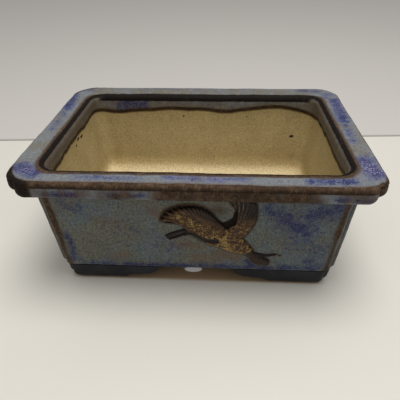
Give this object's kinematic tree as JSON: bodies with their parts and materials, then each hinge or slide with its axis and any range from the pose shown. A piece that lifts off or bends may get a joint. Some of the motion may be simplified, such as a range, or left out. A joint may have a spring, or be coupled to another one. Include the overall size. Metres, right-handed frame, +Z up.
{
  "type": "bonsai pot",
  "caption": "Rectangular glazed stoneware bonsai pot with inset corners, a heavy lip, bracket feet, a drainage hole and a flying crane in relief on the front.",
  "frame": {"origin": "on the surface the pot stands on, under the middle of the rim", "axes": "+X along the pot's length, +Y to the back, +Z up; the crane relief is on the -Y side"},
  "size_m": [0.18, 0.128, 0.075],
  "materials": {
    "raw_clay": "unglazed buff stoneware, matte, with iron specks",
    "wall_glaze": "satin grey-blue glaze flecked with cobalt, brown where it thins on edges",
    "lip_glaze": "glossy blue-grey glaze, cobalt where it pools and dark brown where it breaks",
    "dark_foot": "dark slate slip, matte",
    "relief": "iron-brown glaze with ochre on the raised lines"
  },
  "bodies": {
    "root": {"floor_slab": "raw_clay", "wall_front": "wall_glaze", "wall_back": "wall_glaze", "wall_left": "wall_glaze", "wall_right": "wall_glaze", "lip_front": "lip_glaze", "lip_back": "lip_glaze", "lip_left": "lip_glaze", "lip_right": "lip_glaze", "foot_front_left": "dark_foot", "foot_front_right": "dark_foot", "foot_back_left": "dark_foot", "foot_back_right": "dark_foot", "crane_relief": "relief"}
  },
  "joints": []
}
